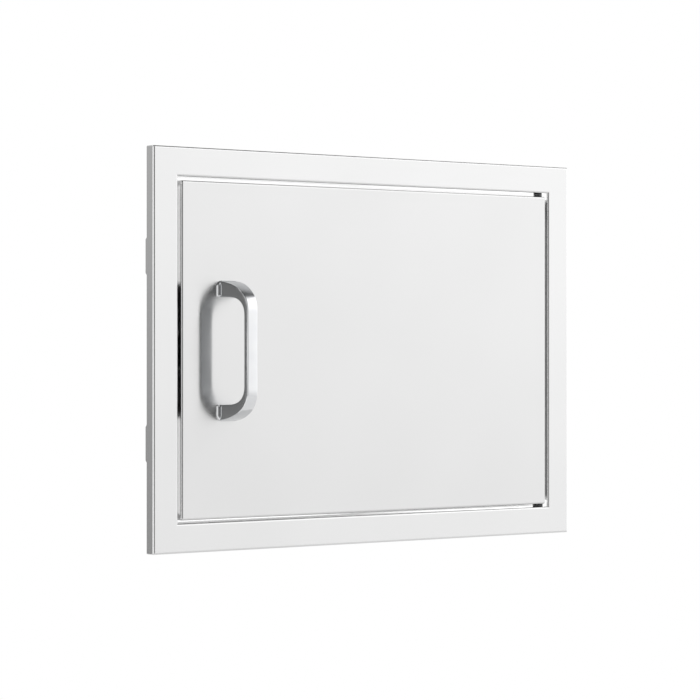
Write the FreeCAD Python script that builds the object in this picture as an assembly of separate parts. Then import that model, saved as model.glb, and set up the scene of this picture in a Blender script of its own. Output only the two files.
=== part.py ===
import FreeCAD, Part
import math
import os
from FreeCAD import Vector

# Access door for a cooking island, in millimetres.
# The origin is the centre of the opening in the plane of the wall: +X to the right, +Y into the wall,
# +Z up. The door is hung at the right, and its latch side is at the left.

# Flange, sleeve and mounting tabs
flange_width = 571.5
flange_height = 419.1
flange_face = 30.5
flange_return = 12.7
frame_sheet = 1.2
bend_radius = 2.2
flange_corner_radius = 1.0
sleeve_depth = 44.5
tab_spacing = 196.0
tab_width = 43.0
tab_reach = 14.5
tab_corner = 4.0
tab_hole = 5.0
tab_hole_setback = 7.0
corner_slot = 7.0
corner_taper = 12.0

# Door pan and liner
latch_gap = 4.2
hinge_gap = 3.8
top_gap = 4.1
bottom_gap = 3.3
door_depth = 15.0
door_sheet = 1.2
door_lip = 12.0
mitre_slit = 0.8
mitre_start = 0.4
liner_sheet = 0.8
liner_edge_clearance = 0.3
liner_field_inset = 38.0
liner_field_rise = 2.0
liner_field_slope = 3.0

# Pivot axis, pins and bushes
pivot_inset = 6.0
pivot_setback = 7.0
pin_diameter = 5.0
running_fit = 0.05
pin_hole_play = 0.4
pin_end_chamfer = 0.8
bush_body = 7.0
bush_fit = 0.05
upper_bush_flange = 9.5
upper_bush_flange_thickness = 1.7
lower_bush_flange = 11.5
lower_bush_flange_thickness = 1.6
upper_washer = 9.5
upper_washer_thickness = 1.9
lower_washer = 11.5
lower_washer_thickness = 1.3
bush_stand_out = 1.0
pin_stand_out = 1.2
doubler_sheet = 2.0
doubler_length = 34.0
doubler_depth = 20.0
doubler_side_clearance = 1.0
doubler_front_clearance = 0.1
doubler_corner = 2.0

# Pivot brackets inside the door
bracket_sheet = 2.0
bracket_width = 30.0
bracket_height = 44.0
bracket_clearance = 0.3
bracket_bend = 0.8
bracket_corner = 1.6
bracket_screw_inset = 24.0
bracket_screw_lip_distance = 5.0
bracket_screw_spacing = 20.0
bracket_screw_stand_out = 1.5
pin_tail = 1.5

# Sprung upper pin
pin_travel = 8.0
collar_diameter = 7.2
collar_length = 7.0
collar_rise = 28.0
spring_wire = 0.6
spring_coils = 6
spring_steps = 12
spring_wire_sides = 6
spring_play = 0.2
knob_shank = 3.6
knob_head = 9.0
knob_head_length = 7.0
knob_stand_off = 2.2
knob_edge = 0.8
knob_flutes = 10
flute_radius = 0.7
flute_centre_outside = 0.25
slot_play = 0.3

# Lower pin ring
ring_thickness = 0.7
ring_groove = 0.5
ring_mouth = 3.2
ring_clearance = 0.2

# Bow handle
handle_inset = 58.4
handle_drop = 0.5
handle_hole_spacing = 128.0
handle_reach = 44.0
grip_width = 12.5
grip_thickness = 5.5
leg_base_width = 24.0
leg_base_height = 17.7
handle_height = 146.6
shoulder_radius = 22.0
shoulder_centre_drop = 28.6
inner_radius = 18.0
handle_bevel = 1.3
grip_inner_bevel = 0.6
foot_width = 30.0
foot_thickness = 1.6
foot_corner = 6.5
foot_inner_corner = 1.5
foot_edge = 0.6

# Handle screws, washers and spacers
handle_screw = 5.0
handle_screw_grip = 11.0
handle_screw_end_play = 1.5
screw_hole_play = 0.25
thread_play = 0.05
handle_screw_head = 9.5
handle_screw_head_height = 3.2
washer_diameter = 12.0
washer_thickness = 1.0
spacer_diameter = 10.0

# Small screws and rivets
head_crown_share = 0.6
small_screw = 4.0
small_screw_head = 7.6
small_screw_head_height = 2.4
rivet_body = 4.0
rivet_head = 7.6
rivet_head_height = 1.0
rivet_tail = 5.6
rivet_tail_length = 2.2
rivet_play = 0.05

# Magnetic catch and stop
catch_length = 139.0
catch_sheet = 1.5
catch_stop_distance = 3.7
catch_leg_depth = 24.0
catch_leg_reach = 25.0
catch_corner = 3.0
bumper_spacing = 116.0
bumper_diameter = 9.0
bumper_stem = 4.0
bumper_bulb = 5.4
bumper_bulb_length = 2.0
bumper_edge = 1.2
rest_gap = 0.3
strike_width = 10.0
strike_length = 56.0
strike_thickness = 1.5
strike_rivet_spacing = 47.0
strike_rivet_head_height = 0.8
strike_corner = 2.0
pole_length = 34.0
pole_sheet = 1.6
pole_depth = 14.0
pole_stand_out = 0.6
magnet_width = 4.4
magnet_inset = 1.0
housing_wall = 2.0
housing_length = 62.0
housing_ear = 4.0
ear_setback = 1.0
ear_corner = 2.5
housing_window_play = 0.6
catch_screw_spacing = 50.0
catch_screw_offset = 1.0

# How far a cutting shape reaches past what it cuts
over = 1.0

# Places worked out from the sizes above
face_y = -flange_return
opening_width = flange_width - 2 * flange_face
opening_height = flange_height - 2 * flange_face
sleeve_back_y = face_y + sleeve_depth
door_left = -opening_width / 2 + latch_gap
door_right = opening_width / 2 - hinge_gap
door_top = opening_height / 2 - top_gap
door_bottom = -opening_height / 2 + bottom_gap
door_mid_z = (door_top + door_bottom) / 2
door_back_y = face_y + door_depth
skin_inner_y = face_y + door_sheet
inner_bend = bend_radius - door_sheet
lip_front_y = door_back_y - door_sheet
liner_front_y = lip_front_y - liner_sheet
pivot_x = door_right - pivot_inset
pivot_y = face_y + pivot_setback
pin_radius = pin_diameter / 2
web_front_y = liner_front_y - bracket_sheet
upper_bracket_top = door_top - door_sheet - inner_bend
lower_bracket_bottom = door_bottom + door_sheet + inner_bend
upper_bracket_mid = upper_bracket_top - bracket_height / 2
lower_bracket_mid = lower_bracket_bottom + bracket_height / 2
bracket_right = door_right - door_sheet - bracket_clearance
bracket_screw_x = bracket_right - bracket_screw_inset
collar_mid = upper_bracket_top - bracket_height + bracket_sheet + collar_rise
handle_x = door_left + handle_inset
handle_z = door_mid_z - handle_drop
catch_z = handle_z
stop_front_y = door_back_y + catch_stop_distance
sleeve_left_x = -opening_width / 2
strike_x = door_left + door_lip / 2
strike_back_y = door_back_y + strike_thickness
liner_field_back_y = lip_front_y + liner_field_rise
ring_diameter = 2 * (web_front_y - pivot_y - bracket_bend - ring_clearance)
rivet_hole = rivet_body + 2 * rivet_play
handle_screw_hole = handle_screw + 2 * screw_hole_play
small_screw_hole = small_screw + 2 * screw_hole_play
pin_hole = pin_diameter + 2 * running_fit
handle_top = handle_height / 2


# Basic shapes

def block(x0, x1, y0, y1, z0, z1):
    """A box between two corners."""
    return Part.makeBox(x1 - x0, y1 - y0, z1 - z0, Vector(x0, y0, z0))


def rod(radius, start, direction, length):
    """A round rod from a point along a direction."""
    return Part.makeCylinder(radius, length, start, direction)


def edges_where(shape, test):
    """The straight edges of a shape whose two end points pass a test."""
    chosen = []
    for edge in shape.Edges:
        if len(edge.Vertexes) < 2:
            continue
        a = edge.Vertexes[0].Point
        b = edge.Vertexes[1].Point
        if test(a, b):
            chosen.append(edge)
    return chosen


def along_y(a, b):
    return abs(a.x - b.x) < 1e-6 and abs(a.z - b.z) < 1e-6


def both_at_y(y):
    return lambda a, b: abs(a.y - y) < 1e-6 and abs(b.y - y) < 1e-6


def tray_block(x0, x1, z0, z1, y0, y1, radius, corner_radius=0, round_back=False):
    """A solid block with rounded front edges, as a folded tray fills it."""
    shape = block(x0, x1, y0, y1, z0, z1)
    if corner_radius > 0:
        shape = shape.makeFillet(corner_radius, edges_where(shape, along_y))
    front = [e for e in shape.Edges if all(abs(v.Point.y - y0) < 1e-6 for v in e.Vertexes)]
    if round_back:
        front += [e for e in shape.Edges if all(abs(v.Point.y - y1) < 1e-6 for v in e.Vertexes)]
    return shape.makeFillet(radius, front)


def revolved(profile, start, direction):
    """A turned piece: (distance along, radius) points revolved about an axis from start."""
    points = [Vector(r, 0, t) for t, r in profile]
    wire = Part.makePolygon(points + [points[0]])
    solid = Part.Face(wire).revolve(Vector(0, 0, 0), Vector(0, 0, 1), 360)
    solid.Placement = FreeCAD.Placement(start, FreeCAD.Rotation(Vector(0, 0, 1), direction))
    return solid


def ring(outer, inner, start, direction, length):
    """A washer, bush or tube."""
    return rod(outer / 2, start, direction, length).cut(rod(inner / 2, start, direction, length))


def pan_head_screw(shank, head, head_height, length, seat, direction):
    """A pan-head screw: seat is under the head, and direction is the way the shank points."""
    crown = head_crown_share * head_height
    profile = [(-head_height, 0), (-head_height, head / 2 - crown), (crown - head_height, head / 2),
               (0, head / 2), (0, shank / 2), (length, shank / 2), (length, 0)]
    return revolved(profile, seat, direction)


def blind_rivet(seat, direction, grip, head_height=rivet_head_height):
    """A set blind rivet: seat is under the head, and grip is the sheets' thickness."""
    r = rivet_body / 2
    end = grip + rivet_tail_length
    profile = [(-head_height, 0), (-head_height, rivet_head / 2 - head_height), (0, rivet_head / 2), (0, r),
               (grip, r), (grip, rivet_tail / 2), (end, r), (end, 0)]
    return revolved(profile, seat, direction)


# Places that repeat

def strike_rivet_places():
    return [(strike_x, catch_z + side * strike_rivet_spacing / 2) for side in (-1, 1)]


def handle_hole_places():
    return [(handle_x, handle_z + side * handle_hole_spacing / 2) for side in (-1, 1)]


def bracket_screw_places():
    places = []
    from_edge = door_lip + bracket_screw_lip_distance
    for edge_z, inwards in ((door_top, -1), (door_bottom, 1)):
        for along in (0, bracket_screw_spacing):
            places.append((bracket_screw_x, edge_z + inwards * (from_edge + along)))
    return places


def holes_through(places, diameter, y0, y1):
    """Round holes along Y, ready to be cut."""
    return [rod(diameter / 2, Vector(x, y0, z), Vector(0, 1, 0), y1 - y0) for x, z in places]


def knob_slot(y0, y1):
    """The slot that the release knob's shank slides in."""
    r = knob_shank / 2 + slot_play
    low = collar_mid - pin_travel
    slot = block(pivot_x - r, pivot_x + r, y0, y1, low, collar_mid)
    for z in (low, collar_mid):
        slot = slot.fuse(rod(r, Vector(pivot_x, y0, z), Vector(0, 1, 0), y1 - y0))
    return slot


# Frame

def mounting_tab(side, z):
    """A tab that carries on behind the sleeve's side wall, with clipped corners."""
    half = tab_width / 2
    end_y = sleeve_back_y + tab_reach
    outline = [(sleeve_back_y, z - half), (end_y - tab_corner, z - half), (end_y, z - half + tab_corner),
               (end_y, z + half - tab_corner), (end_y - tab_corner, z + half), (sleeve_back_y, z + half)]
    x = side * opening_width / 2
    points = [Vector(x, y, zz) for y, zz in outline]
    tab = Part.Face(Part.makePolygon(points + [points[0]])).extrude(Vector(side * frame_sheet, 0, 0))
    start = Vector(x - side * over, end_y - tab_hole_setback, z)
    return tab.cut(rod(tab_hole / 2, start, Vector(side, 0, 0), frame_sheet + 2 * over))


def corner_relief(side, end):
    """What is cut from the end of a side wall, so that the folded walls stay open at the corner."""
    z = end * opening_height / 2
    front = face_y + bend_radius
    back = sleeve_back_y + over
    outline = [(front, z), (front, z - end * corner_slot), (back, z - end * (corner_slot + corner_taper)),
               (back, z)]
    x = side * (opening_width / 2 - over)
    points = [Vector(x, y, zz) for y, zz in outline]
    profile = Part.Face(Part.makePolygon(points + [points[0]]))
    return profile.extrude(Vector(side * (frame_sheet + 2 * over), 0, 0))


def face_frame():
    """The flange, its outer return, the sleeve and the tabs, folded and welded into one piece."""
    w = flange_width / 2
    h = flange_height / 2
    t = frame_sheet
    outer = tray_block(-w, w, -h, h, face_y, 0, bend_radius, flange_corner_radius)
    hollow = tray_block(-w + t, w - t, -h + t, h - t, face_y + t, over, bend_radius - t)
    shell = outer.cut(hollow)
    ow = opening_width / 2
    oh = opening_height / 2
    shell = shell.fuse(block(-ow - t, ow + t, face_y + t / 2, sleeve_back_y, -oh - t, oh + t))
    shell = shell.cut(block(-ow, ow, face_y - over, sleeve_back_y + over, -oh, oh)).removeSplitter()
    inner_edges = edges_where(shell, lambda a, b: both_at_y(face_y + t)(a, b)
                              and max(abs(a.x), abs(b.x)) < ow + t + 1e-3
                              and max(abs(a.z), abs(b.z)) < oh + t + 1e-3)
    shell = shell.makeFillet(bend_radius - t, inner_edges)
    mouth = edges_where(shell, lambda a, b: both_at_y(face_y)(a, b)
                        and max(abs(a.x), abs(b.x)) < ow + 1e-3 and max(abs(a.z), abs(b.z)) < oh + 1e-3)
    shell = shell.makeFillet(bend_radius, mouth)
    for side in (-1, 1):
        for end in (-1, 1):
            shell = shell.fuse(mounting_tab(side, end * tab_spacing / 2))
            shell = shell.cut(corner_relief(side, end))
    for end in (-1, 1):
        start = Vector(pivot_x, pivot_y, end * (oh - over))
        shell = shell.cut(rod(bush_body / 2 + bush_fit, start, Vector(0, 0, end), t + 2 * over))
    return shell.removeSplitter()


def hinge_doubler(end):
    """A plate spot-welded outside the sleeve, which thickens it round a bush."""
    z0 = end * (opening_height / 2 + frame_sheet)
    z1 = z0 + end * doubler_sheet
    front = face_y + bend_radius + doubler_front_clearance
    right = opening_width / 2 - doubler_side_clearance
    plate = block(right - doubler_length, right, front, front + doubler_depth, min(z0, z1), max(z0, z1))
    corners = edges_where(plate, lambda a, b: abs(a.x - b.x) < 1e-6 and abs(a.y - b.y) < 1e-6)
    back_corners = [e for e in corners if e.Vertexes[0].Point.y > front + doubler_depth / 2]
    plate = plate.makeFillet(doubler_corner, back_corners)
    start = Vector(pivot_x, pivot_y, z0 - end * over)
    return plate.cut(rod(bush_body / 2 + bush_fit, start, Vector(0, 0, end), doubler_sheet + 2 * over))


def pivot_bush(end, flange, thickness):
    """A flanged nylon bush: the flange lies in the gap and the body goes through sleeve and doubler."""
    seat = opening_height / 2
    through = frame_sheet + doubler_sheet + bush_stand_out
    bore = pin_radius + running_fit
    profile = [(-thickness, bore), (-thickness, flange / 2), (0, flange / 2), (0, bush_body / 2),
               (through, bush_body / 2), (through, bore)]
    return revolved(profile, Vector(pivot_x, pivot_y, end * seat), Vector(0, 0, end))


# Door pan and liner

def door_skin():
    """The outer sheet: face, four returns and four lips turned in at the back."""
    t = door_sheet
    outer = tray_block(door_left, door_right, door_bottom, door_top, face_y, door_back_y, bend_radius,
                       bend_radius, round_back=True)
    hollow = tray_block(door_left + t, door_right - t, door_bottom + t, door_top - t, skin_inner_y,
                        lip_front_y, inner_bend, round_back=True)
    window = block(door_left + door_lip, door_right - door_lip, lip_front_y - over, door_back_y + over,
                   door_bottom + door_lip, door_top - door_lip)
    skin = outer.cut(hollow).cut(window)
    for x, sx in ((door_left, 1), (door_right, -1)):
        for z, sz in ((door_bottom, 1), (door_top, -1)):
            skin = skin.cut(mitre_cut(x, sx, z, sz))
    for z in (door_top - 2 * t, door_bottom - t):
        skin = skin.cut(rod(pin_radius + pin_hole_play, Vector(pivot_x, pivot_y, z), Vector(0, 0, 1), 3 * t))
    cuts = holes_through(handle_hole_places(), handle_screw_hole, face_y - over, skin_inner_y + over)
    cuts += holes_through(strike_rivet_places(), rivet_hole, lip_front_y - over, door_back_y + over)
    cuts.append(knob_slot(lip_front_y - over, door_back_y + over))
    for cut in cuts:
        skin = skin.cut(cut)
    return skin


def mitre_cut(x, sx, z, sz):
    """The slit where two lips meet at a corner."""
    start = bend_radius + mitre_start
    length = (door_lip - start) * math.sqrt(2) + over
    slit = Part.makeBox(length, door_sheet + over, mitre_slit, Vector(0, lip_front_y, -mitre_slit / 2))
    angle = math.degrees(math.atan2(sz, sx))
    slit.rotate(Vector(0, 0, 0), Vector(0, -1, 0), angle)
    slit.translate(Vector(x + sx * start, 0, z + sz * start))
    return slit


def frustum(inset, y0, y1, slope):
    """A four-sided block over the door's middle that narrows from y0 to y1."""
    wires = []
    for y, extra in ((y0, 0), (y1, slope)):
        x0 = door_left + inset + extra
        x1 = door_right - inset - extra
        z0 = door_bottom + inset + extra
        z1 = door_top - inset - extra
        points = [Vector(x0, y, z0), Vector(x1, y, z0), Vector(x1, y, z1), Vector(x0, y, z1)]
        wires.append(Part.makePolygon(points + [points[0]]))
    return Part.makeLoft(wires, True, True)


def door_liner():
    """The inner sheet, spot-welded behind the lips, with its middle pressed out to the back."""
    edge = door_sheet + inner_bend + liner_edge_clearance
    front = liner_front_y
    sheet = block(door_left + edge, door_right - edge, front, lip_front_y,
                  door_bottom + edge, door_top - edge)
    raised = frustum(liner_field_inset, front + liner_sheet / 2, liner_field_back_y, liner_field_slope)
    hollow = frustum(liner_field_inset + liner_sheet, front, liner_field_back_y - liner_sheet,
                     liner_field_slope)
    liner = sheet.fuse(raised).cut(hollow)
    cuts = holes_through(strike_rivet_places(), rivet_hole, front - over, lip_front_y + over)
    cuts += holes_through(bracket_screw_places(), small_screw_hole, front - over, lip_front_y + over)
    cuts += holes_through(handle_hole_places(), handle_screw_hole, front - over, liner_field_back_y + over)
    cuts.append(knob_slot(front - over, lip_front_y + over))
    for cut in cuts:
        liner = liner.cut(cut)
    return liner


# Handle

def handle_side_outline():
    """The handle seen from its side: legs that lean out, round shoulders and a straight grip."""
    front = -handle_reach
    centre = Vector(0, front + shoulder_radius, handle_top - shoulder_centre_drop)
    base = Vector(0, 0, handle_top)
    away = base.sub(centre)
    tangent_angle = math.atan2(away.z, away.y) + math.acos(shoulder_radius / away.Length)
    tangent = on_circle(centre, shoulder_radius, tangent_angle)
    shoulder_mid = on_circle(centre, shoulder_radius, (tangent_angle + math.pi) / 2)
    grip_end = Vector(0, front, centre.z)
    inner_top = handle_top - leg_base_height
    back = front + grip_thickness
    inner_centre = Vector(0, back + inner_radius, inner_top - inner_radius)
    inner_mid = on_circle(inner_centre, inner_radius, math.radians(135))
    inner_base = Vector(0, 0, inner_top)
    inner_tangent = Vector(0, inner_centre.y, inner_top)
    inner_end = Vector(0, back, inner_centre.z)
    upper = [Part.LineSegment(base, tangent), Part.Arc(tangent, shoulder_mid, grip_end)]
    inner = [Part.Arc(inner_end, inner_mid, inner_tangent), Part.LineSegment(inner_tangent, inner_base)]
    half = Part.Wire([e.toShape() for e in upper])
    half_inner = Part.Wire([e.toShape() for e in inner])
    low_half = half.mirror(Vector(0, 0, 0), Vector(0, 0, 1))
    low_inner = half_inner.mirror(Vector(0, 0, 0), Vector(0, 0, 1))
    joins = []
    for a, b in ((grip_end, below(grip_end)), (below(base), below(inner_base)),
                 (below(inner_end), inner_end), (inner_base, base)):
        joins.append(Part.LineSegment(a, b).toShape())
    edges = half.Edges + low_half.Edges + half_inner.Edges + low_inner.Edges + joins
    return Part.Wire(Part.sortEdges(edges)[0])


def on_circle(centre, radius, angle):
    """A point on a circle that lies in the YZ plane."""
    return centre.add(Vector(0, math.cos(angle), math.sin(angle)).multiply(radius))


def below(point):
    """The point mirrored to the handle's lower half."""
    return Vector(point.x, point.y, -point.z)


def handle_bow():
    """The bow: the side outline given a width that narrows from the door to the grip, edges bevelled."""
    half = leg_base_width / 2
    side_face = Part.Face(handle_side_outline())
    side_face.translate(Vector(-half - over, 0, 0))
    thick = side_face.extrude(Vector(2 * half + 2 * over, 0, 0))
    slope = (leg_base_width - grip_width) / 2 / handle_reach
    near = -handle_reach - over
    near_half = half + near * slope
    plan = [Vector(-half, 0, -handle_height), Vector(half, 0, -handle_height),
            Vector(near_half, near, -handle_height), Vector(-near_half, near, -handle_height)]
    wedge = Part.Face(Part.makePolygon(plan + [plan[0]])).extrude(Vector(0, 0, 2 * handle_height))
    bow = thick.common(wedge).removeSplitter()
    outer_edges = []
    inner_edges = []
    for edge in bow.Edges:
        middle = edge.valueAt((edge.FirstParameter + edge.LastParameter) / 2)
        ends = [v.Point for v in edge.Vertexes]
        along_width = abs(ends[0].x - ends[1].x) > grip_width / 2
        at_base = all(abs(p.y) < 1e-6 for p in ends)
        if along_width or at_base:
            continue
        if is_inner(middle):
            inner_edges.append(edge)
        else:
            outer_edges.append(edge)
    bow = bow.makeChamfer(handle_bevel, outer_edges)
    inner_again = [e for e in bow.Edges for f in inner_edges if same_edge(e, f)]
    return bow.makeChamfer(grip_inner_bevel, inner_again)


def same_edge(a, b):
    return a.CenterOfMass.distanceToPoint(b.CenterOfMass) < 1e-4 and abs(a.Length - b.Length) < 1e-3


def is_inner(point):
    """Whether a point on the bow's edge faces the fingers, between the legs' inner flats and the grip."""
    under_leg = abs(point.z) < handle_top - leg_base_height + 1e-3
    return under_leg and point.y > grip_thickness - handle_reach - 1e-3


def handle_foot(end):
    """A foot of the handle: a thin plate against the door, round at its outer corners."""
    outer = end * handle_top
    inner = outer - end * leg_base_height
    plate = block(-foot_width / 2, foot_width / 2, -foot_thickness, 0, min(outer, inner), max(outer, inner))
    corners = edges_where(plate, along_y)
    outer_corners = [e for e in corners if abs(e.Vertexes[0].Point.z - outer) < 1e-6]
    plate = plate.makeFillet(foot_corner, outer_corners)
    corners = edges_where(plate, along_y)
    inner_corners = [e for e in corners if abs(e.Vertexes[0].Point.z - inner) < 1e-6]
    plate = plate.makeFillet(foot_inner_corner, inner_corners)
    rim = [e for e in plate.Edges if all(abs(v.Point.y + foot_thickness) < 1e-6 for v in e.Vertexes)]
    return plate.makeChamfer(foot_edge, rim)


def pull_handle():
    """The whole casting, with a blind threaded hole in each foot."""
    handle = handle_bow()
    for end in (-1, 1):
        handle = handle.fuse(handle_foot(end))
    depth = handle_screw_grip + handle_screw_end_play
    for end in (-1, 1):
        start = Vector(0, over, end * handle_hole_spacing / 2)
        handle = handle.cut(rod(handle_screw / 2 + thread_play, start, Vector(0, -1, 0), depth + over))
    handle = handle.removeSplitter()
    handle.translate(Vector(handle_x, face_y, handle_z))
    return handle


def handle_spacers():
    length = liner_field_back_y - liner_sheet - skin_inner_y
    return [ring(spacer_diameter, handle_screw_hole, Vector(x, skin_inner_y, z), Vector(0, 1, 0), length)
            for x, z in handle_hole_places()]


def handle_washers():
    return [ring(washer_diameter, handle_screw_hole, Vector(x, liner_field_back_y, z), Vector(0, 1, 0),
                 washer_thickness) for x, z in handle_hole_places()]


def handle_screws():
    seat = liner_field_back_y + washer_thickness
    length = seat - face_y + handle_screw_grip
    return [pan_head_screw(handle_screw, handle_screw_head, handle_screw_head_height, length,
                           Vector(x, seat, z), Vector(0, -1, 0)) for x, z in handle_hole_places()]


# Pivots in the door

def pivot_bracket(mid):
    """A channel with two plates for the pin and a web against the liner."""
    left = bracket_right - bracket_width
    front = skin_inner_y + bracket_clearance
    z0 = mid - bracket_height / 2
    z1 = mid + bracket_height / 2
    body = block(left, bracket_right, front, liner_front_y, z0, z1)
    bends = edges_where(body, lambda a, b: both_at_y(liner_front_y)(a, b) and abs(a.z - b.z) < 1e-6)
    body = body.makeFillet(bracket_bend + bracket_sheet, bends)
    s = bracket_sheet
    hollow = block(left - over, bracket_right + over, front - over, web_front_y, z0 + s, z1 - s)
    bends = edges_where(hollow, lambda a, b: both_at_y(web_front_y)(a, b) and abs(a.z - b.z) < 1e-6)
    body = body.cut(hollow.makeFillet(bracket_bend, bends))
    corners = edges_where(body, lambda a, b: abs(a.x - b.x) < 1e-6 and abs(a.y - b.y) < 1e-6
                          and abs(a.y - front) < 1e-6)
    body = body.makeFillet(bracket_corner, corners)
    body = body.cut(rod(pin_hole / 2, Vector(pivot_x, pivot_y, z0 - over), Vector(0, 0, 1),
                        bracket_height + 2 * over))
    places = [p for p in bracket_screw_places() if abs(p[1] - mid) < bracket_height / 2]
    tapped = small_screw + 2 * thread_play
    for hole in holes_through(places, tapped, web_front_y - over, liner_front_y + over):
        body = body.cut(hole)
    return body


def upper_pivot_bracket():
    return pivot_bracket(upper_bracket_mid).cut(knob_slot(web_front_y - over, liner_front_y + over))


def bracket_screws():
    length = liner_sheet + bracket_sheet + bracket_screw_stand_out
    return [pan_head_screw(small_screw, small_screw_head, small_screw_head_height, length,
                           Vector(x, lip_front_y, z), Vector(0, -1, 0)) for x, z in bracket_screw_places()]


def upper_pivot_pin():
    """The sliding pin, from below the bracket up through the bush."""
    low = upper_bracket_top - bracket_height - pin_tail
    high = opening_height / 2 + frame_sheet + doubler_sheet + pin_stand_out
    c = pin_end_chamfer
    profile = [(0, 0), (0, pin_radius - c), (c, pin_radius), (high - low - c, pin_radius),
               (high - low, pin_radius - c), (high - low, 0)]
    pin = revolved(profile, Vector(pivot_x, pivot_y, low), Vector(0, 0, 1))
    thread = rod(knob_shank / 2, Vector(pivot_x, pivot_y, collar_mid), Vector(0, 1, 0), pin_diameter)
    return pin.cut(thread)


def pin_collar():
    """The collar fixed on the sliding pin, which the spring pushes up."""
    middle = Vector(pivot_x, pivot_y, collar_mid)
    low = middle.sub(Vector(0, 0, collar_length / 2))
    collar = ring(collar_diameter, pin_diameter, low, Vector(0, 0, 1), collar_length)
    return collar.cut(rod(knob_shank / 2, middle, Vector(0, 1, 0), collar_diameter))


def pin_release_knob():
    """The fluted knob that pulls the pin down: its shank screws through the collar into the pin."""
    shank_length = door_back_y + knob_stand_off - pivot_y
    r = knob_head / 2
    end = shank_length + knob_head_length
    profile = [(0, 0), (0, knob_shank / 2), (shank_length, knob_shank / 2), (shank_length, r),
               (end - knob_edge, r), (end, r - knob_edge), (end, 0)]
    knob = revolved(profile, Vector(0, 0, 0), Vector(0, 0, 1))
    for i in range(knob_flutes):
        a = 2 * math.pi * i / knob_flutes
        out = r + flute_centre_outside
        flute = rod(flute_radius, Vector(math.cos(a) * out, math.sin(a) * out, shank_length - over),
                    Vector(0, 0, 1), knob_head_length + 2 * over)
        knob = knob.cut(flute)
    knob.Placement = FreeCAD.Placement(Vector(pivot_x, pivot_y, collar_mid),
                                       FreeCAD.Rotation(Vector(0, 0, 1), Vector(0, 1, 0)))
    return knob


def upper_pin_spring():
    """The compression spring between the bracket's lower plate and the collar."""
    low = upper_bracket_top - bracket_height + bracket_sheet + spring_wire / 2
    high = collar_mid - collar_length / 2 - spring_wire / 2
    mean = collar_diameter / 2 - spring_wire / 2 - spring_play / 2
    steps = spring_coils * spring_steps
    rise = (high - low) / steps
    rings = [wire_section(mean, 2 * math.pi * i / spring_steps, i * rise, rise) for i in range(steps + 1)]
    spring = Part.makeLoft(rings, True, True)
    spring.translate(Vector(pivot_x, pivot_y, low))
    print("spring: gap between turns", round((high - low) / spring_coils - spring_wire, 2), "mm")
    return spring


def wire_section(radius, angle, height, rise):
    """The wire's section at an angle about Z: a polygon square to the helix, which rises so much a step."""
    centre = Vector(radius * math.cos(angle), radius * math.sin(angle), height)
    outwards = Vector(math.cos(angle), math.sin(angle), 0)
    run = 2 * math.pi * radius / spring_steps
    along = Vector(-run * math.sin(angle), run * math.cos(angle), rise).normalize()
    upwards = outwards.cross(along)
    corners = []
    for i in range(spring_wire_sides):
        a = 2 * math.pi * i / spring_wire_sides
        corners.append(centre + (outwards * math.cos(a) + upwards * math.sin(a)) * (spring_wire / 2))
    return Part.makePolygon(corners + [corners[0]])


def lower_pivot_pin():
    """The fixed lower pin, with a groove for its ring above the bracket's lower plate."""
    low = -(opening_height / 2 + frame_sheet + doubler_sheet + pin_stand_out)
    high = lower_bracket_bottom + bracket_height + pin_tail
    groove = lower_bracket_bottom + bracket_sheet - low
    c = pin_end_chamfer
    r = pin_radius
    profile = [(0, 0), (0, r - c), (c, r), (groove, r), (groove, r - ring_groove),
               (groove + ring_thickness, r - ring_groove), (groove + ring_thickness, r),
               (high - low - c, r), (high - low, r - c), (high - low, 0)]
    return revolved(profile, Vector(pivot_x, pivot_y, low), Vector(0, 0, 1))


def lower_pin_ring():
    """The open ring that keeps the lower pin from dropping."""
    start = Vector(pivot_x, pivot_y, lower_bracket_bottom + bracket_sheet)
    inner = pin_diameter - 2 * ring_groove
    plate = ring(ring_diameter, inner, start, Vector(0, 0, 1), ring_thickness)
    gap = block(pivot_x - ring_diameter, pivot_x, pivot_y - ring_mouth / 2, pivot_y + ring_mouth / 2,
                start.z - over, start.z + ring_thickness + over)
    return plate.cut(gap)


def lower_thrust_washer():
    start = Vector(pivot_x, pivot_y, door_bottom)
    return ring(lower_washer, pin_hole, start, Vector(0, 0, -1), lower_washer_thickness)


def upper_spacer_washer():
    start = Vector(pivot_x, pivot_y, door_top)
    return ring(upper_washer, pin_hole, start, Vector(0, 0, 1), upper_washer_thickness)


# Catch and stop

def catch_bracket():
    """An angle on the sleeve's latch side: the stop leg faces the door and has a window for the catch."""
    x0 = sleeve_left_x
    x1 = x0 + catch_leg_reach
    z0 = catch_z - catch_length / 2
    z1 = catch_z + catch_length / 2
    s = catch_sheet
    front = stop_front_y
    back = front + catch_leg_depth
    angle = block(x0, x1, front, back, z0, z1)
    bend = edges_where(angle, lambda a, b: both_at_y(front)(a, b) and abs(a.x - x0) < 1e-6
                       and abs(b.x - x0) < 1e-6)
    angle = angle.makeFillet(bend_radius, bend)
    angle = angle.cut(block(x0 + s, x1 + over, front + s, back + over, z0 - over, z1 + over))
    corners = edges_where(angle, lambda a, b: along_y(a, b) and abs(a.x - x1) < 1e-6)
    angle = angle.makeFillet(catch_corner, corners)
    nose = nose_half_width() + housing_window_play
    length = nose_half_length() + housing_window_play
    angle = angle.cut(block(strike_x - nose, strike_x + nose, front - over, front + s + over,
                            catch_z - length, catch_z + length))
    for z in bumper_places():
        start = Vector(strike_x, front - over, z)
        angle = angle.cut(rod(bumper_stem / 2, start, Vector(0, 1, 0), s + 2 * over))
    for z in catch_screw_places():
        start = Vector(x0 - over, housing_mid_y(), z)
        angle = angle.cut(rod(small_screw / 2 + thread_play, start, Vector(1, 0, 0), s + 2 * over))
    return angle


def nose_half_width():
    return magnet_width / 2 + pole_sheet + housing_wall


def nose_half_length():
    return pole_length / 2 + housing_wall


def pole_front_y():
    return strike_back_y + rest_gap


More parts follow.
